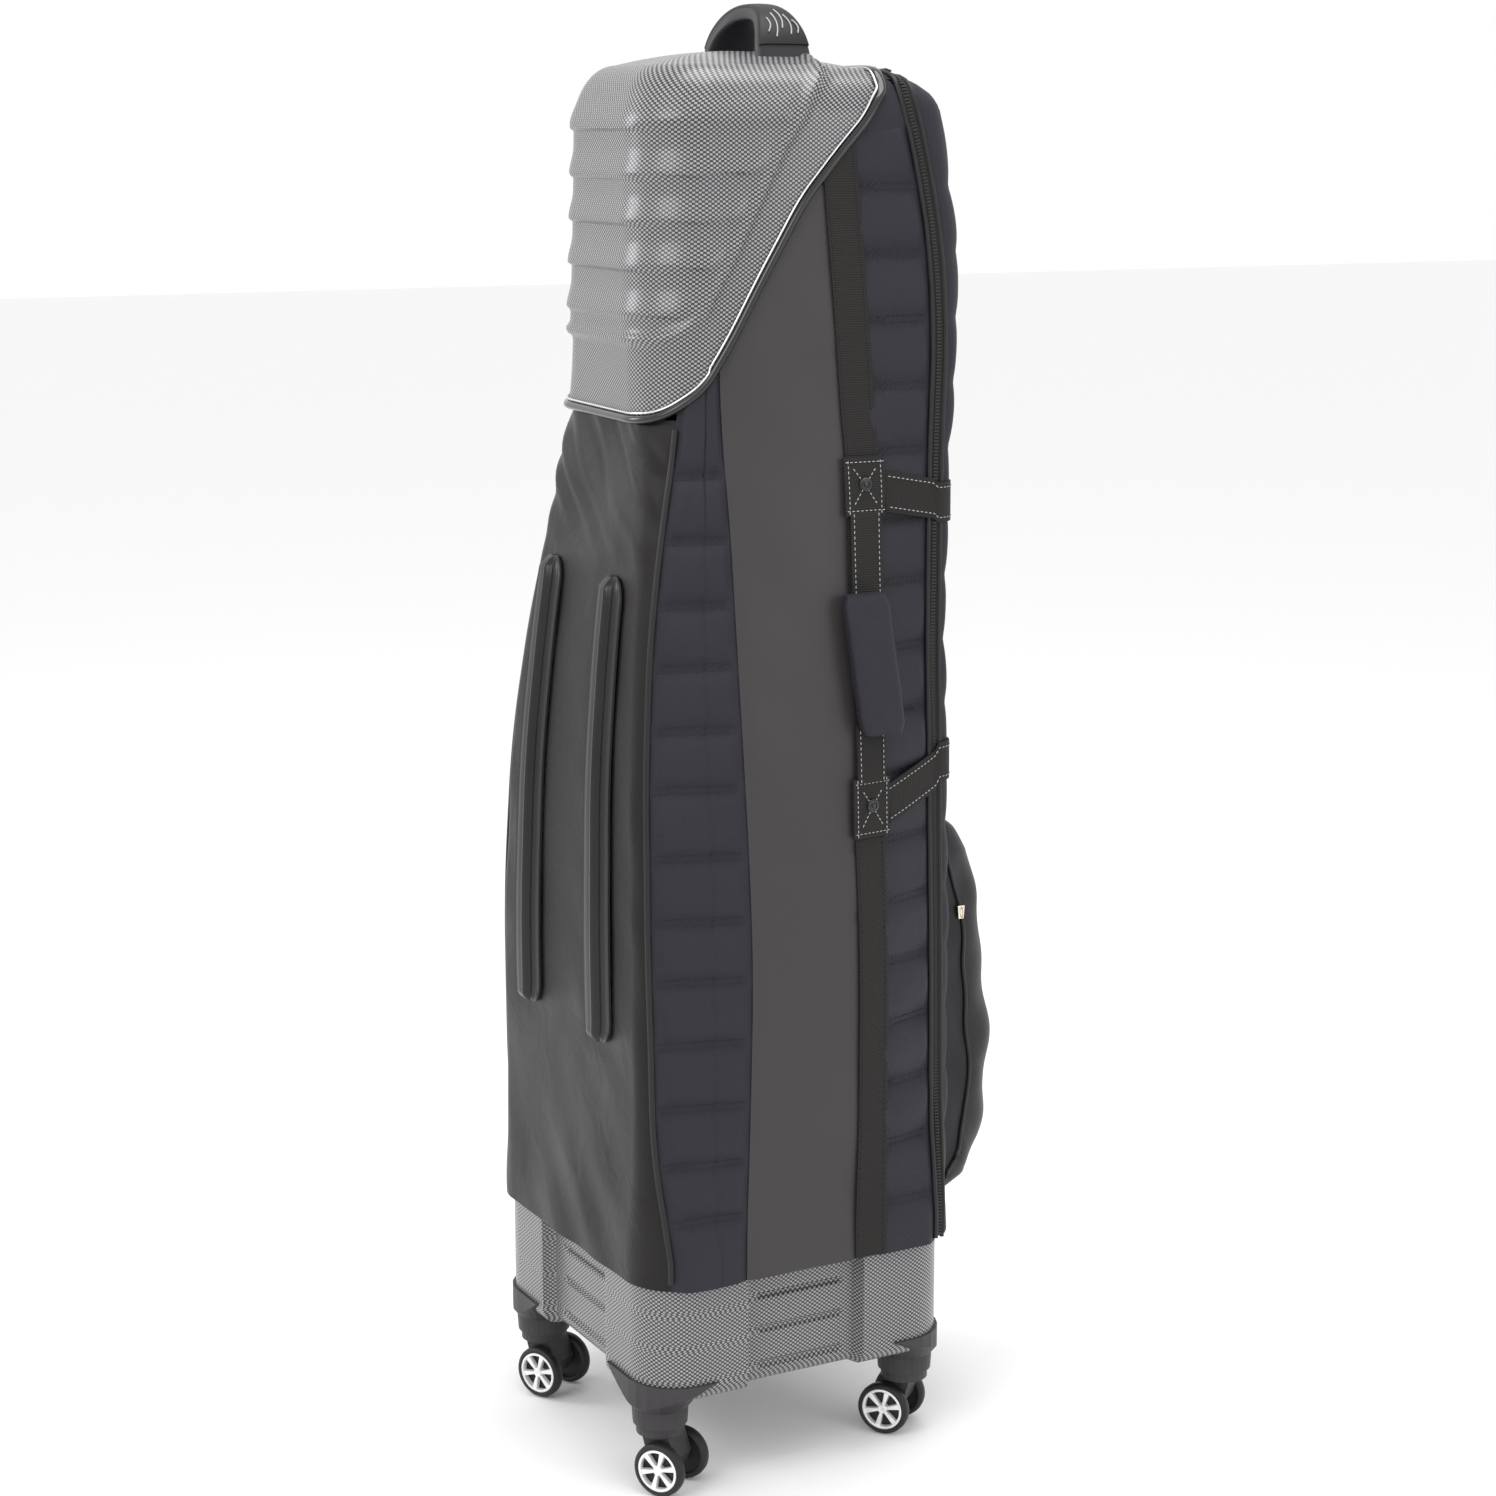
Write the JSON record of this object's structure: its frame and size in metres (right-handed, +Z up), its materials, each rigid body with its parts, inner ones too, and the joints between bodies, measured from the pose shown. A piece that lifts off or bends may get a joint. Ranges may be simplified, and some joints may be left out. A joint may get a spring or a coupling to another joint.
{
  "type": "golf travel case",
  "caption": "Upright wheeled golf travel case with a moulded base and hood, a padded fabric body, a zipped front lid with a shoe pocket, and swivel casters.",
  "frame": {"origin": "on the floor, under the middle of the case's box", "axes": "+Z up; -Y is the back with the skid rails, +Y is the zipped front lid, +X is the side with the carry handle"},
  "size_m": [0.3777, 0.4108, 1.3209],
  "materials": {
    "hard_shell": "gloss moulded shell, fine check print",
    "black_trim": "gloss",
    "ballistic_fabric": "fine ballistic weave",
    "back_fabric": "satin coated weave",
    "tarpaulin": "matte coated cloth",
    "webbing": "ribbed webbing",
    "rail_plastic": "satin",
    "handle_plastic": "satin",
    "grip_rubber": "matte",
    "caster_plastic": "satin",
    "wheel": "matte",
    "steel": "brushed",
    "brass_zip": "polished",
    "zip_coil": "matte",
    "board": "matte"
  },
  "bodies": {
    "root": {"base_shell": "hard_shell", "base_pad": "board", "back_panel": "back_fabric", "rear_quilt_right": "ballistic_fabric", "tarp_panel_right": "tarpaulin", "front_quilt_right": "ballistic_fabric", "rear_quilt_left": "ballistic_fabric", "tarp_panel_left": "tarpaulin", "front_quilt_left": "ballistic_fabric", "zip_track": "zip_coil", "hood_shell": "hard_shell", "hood_trim": "black_trim", "back_stiffener": "board", "inner_strap_lower": "webbing", "inner_strap_upper": "webbing", "skid_rail_right": "rail_plastic", "skid_rail_left": "rail_plastic", "side_webbing_right": "webbing", "side_webbing_left": "webbing", "carry_tab_upper": "webbing", "snap_cap_upper": "steel", "carry_tab_lower": "webbing", "snap_cap_lower": "steel", "carry_webbing_upper": "webbing", "carry_webbing_lower": "webbing", "top_handle": "handle_plastic", "handle_grip": "grip_rubber", "caster_housing_rear_right": "caster_plastic", "caster_housing_rear_left": "caster_plastic", "caster_housing_front_right": "caster_plastic", "caster_housing_front_left": "caster_plastic"},
    "lid": {"front_lid": "ballistic_fabric", "shoe_pocket": "ballistic_fabric", "wrap_strap_upper_right": "webbing", "wrap_strap_upper_left": "webbing", "wrap_strap_lower_right": "webbing", "wrap_strap_lower_left": "webbing"},
    "carry_handle": {"carry_grip": "ballistic_fabric"},
    "caster_rear_right": {"caster_fork_rear_right": "caster_plastic", "axle_rear_right": "steel"},
    "wheel_rear_right_outer": {"wheel_rear_right_outer": "wheel"},
    "wheel_rear_right_inner": {"wheel_rear_right_inner": "wheel"},
    "caster_rear_left": {"caster_fork_rear_left": "caster_plastic", "axle_rear_left": "steel"},
    "wheel_rear_left_outer": {"wheel_rear_left_outer": "wheel"},
    "wheel_rear_left_inner": {"wheel_rear_left_inner": "wheel"},
    "caster_front_right": {"caster_fork_front_right": "caster_plastic", "axle_front_right": "steel"},
    "wheel_front_right_outer": {"wheel_front_right_outer": "wheel"},
    "wheel_front_right_inner": {"wheel_front_right_inner": "wheel"},
    "caster_front_left": {"caster_fork_front_left": "caster_plastic", "axle_front_left": "steel"},
    "wheel_front_left_outer": {"wheel_front_left_outer": "wheel"},
    "wheel_front_left_inner": {"wheel_front_left_inner": "wheel"},
    "zip_slider_right": {"zip_slider_right": "brass_zip"},
    "zip_pull_right": {"zip_pull_right": "rail_plastic"},
    "zip_slider_left": {"zip_slider_left": "brass_zip"},
    "zip_pull_left": {"zip_pull_left": "rail_plastic"},
    "pocket_slider": {"pocket_slider": "brass_zip"}
  },
  "joints": [
    {"name": "lid_hinge", "type": "hinge", "parent": "root", "child": "lid", "pos_m": [-0.008, 0.136, 0.198], "axis": [-1, 0, 0], "range_deg": [0, 90]},
    {"name": "carry_handle_lift", "type": "slide", "parent": "root", "child": "carry_handle", "axis": [0.998, -0.0631, 0], "range_m": [0, 0.025]},
    {"name": "swivel_rear_right", "type": "hinge", "parent": "root", "child": "caster_rear_right", "pos_m": [0.117, -0.162, 0.06], "axis": [0, 0, 1], "continuous": true},
    {"name": "spin_rear_right_outer", "type": "hinge", "parent": "caster_rear_right", "child": "wheel_rear_right_outer", "pos_m": [0.13894, -0.17375, 0.025], "axis": [-0.5446, 0.8387, 0], "continuous": true},
    {"name": "spin_rear_right_inner", "type": "hinge", "parent": "caster_rear_right", "child": "wheel_rear_right_inner", "pos_m": [0.11519, -0.13718, 0.025], "axis": [-0.5446, 0.8387, 0], "continuous": true},
    {"name": "swivel_rear_left", "type": "hinge", "parent": "root", "child": "caster_rear_left", "pos_m": [-0.133, -0.162, 0.06], "axis": [0, 0, 1], "continuous": true},
    {"name": "spin_rear_left_outer", "type": "hinge", "parent": "caster_rear_left", "child": "wheel_rear_left_outer", "pos_m": [-0.11241, -0.17598, 0.025], "axis": [-0.454, 0.891, 0], "continuous": true},
    {"name": "spin_rear_left_inner", "type": "hinge", "parent": "caster_rear_left", "child": "wheel_rear_left_inner", "pos_m": [-0.1322, -0.13713, 0.025], "axis": [-0.454, 0.891, 0], "continuous": true},
    {"name": "swivel_front_right", "type": "hinge", "parent": "root", "child": "caster_front_right", "pos_m": [0.117, 0.098, 0.06], "axis": [0, 0, 1], "continuous": true},
    {"name": "spin_front_right_outer", "type": "hinge", "parent": "caster_front_right", "child": "wheel_front_right_outer", "pos_m": [0.09412, 0.10779, 0.025], "axis": [0.6157, -0.788, 0], "continuous": true},
    {"name": "spin_front_right_inner", "type": "hinge", "parent": "caster_front_right", "child": "wheel_front_right_inner", "pos_m": [0.12097, 0.07343, 0.025], "axis": [0.6157, -0.788, 0], "continuous": true},
    {"name": "swivel_front_left", "type": "hinge", "parent": "root", "child": "caster_front_left", "pos_m": [-0.133, 0.098, 0.06], "axis": [0, 0, 1], "continuous": true},
    {"name": "spin_front_left_outer", "type": "hinge", "parent": "caster_front_left", "child": "wheel_front_left_outer", "pos_m": [-0.15514, 0.10936, 0.025], "axis": [0.5592, -0.829, 0], "continuous": true},
    {"name": "spin_front_left_inner", "type": "hinge", "parent": "caster_front_left", "child": "wheel_front_left_inner", "pos_m": [-0.13076, 0.07322, 0.025], "axis": [0.5592, -0.829, 0], "continuous": true},
    {"name": "zip_slide_right", "type": "slide", "parent": "root", "child": "zip_slider_right", "axis": [0.9945, -0.1045, 0], "range_m": [0, 0.016]},
    {"name": "zip_pull_hinge_right", "type": "hinge", "parent": "zip_slider_right", "child": "zip_pull_right", "pos_m": [0.06394, 0.08898, 1.26207], "axis": [-0.1006, -0.957, 0.272], "range_deg": [0, 90]},
    {"name": "zip_slide_left", "type": "slide", "parent": "root", "child": "zip_slider_left", "axis": [0.9945, -0.1045, 0], "range_m": [-0.095, 0]},
    {"name": "zip_pull_hinge_left", "type": "hinge", "parent": "zip_slider_left", "child": "zip_pull_left", "pos_m": [0.02834, 0.09272, 1.26207], "axis": [0.1006, 0.957, -0.272], "range_deg": [0, 90]},
    {"name": "pocket_zip_slide", "type": "slide", "parent": "lid", "child": "pocket_slider", "axis": [0, 0, -1], "range_m": [0, 0.16]}
  ]
}
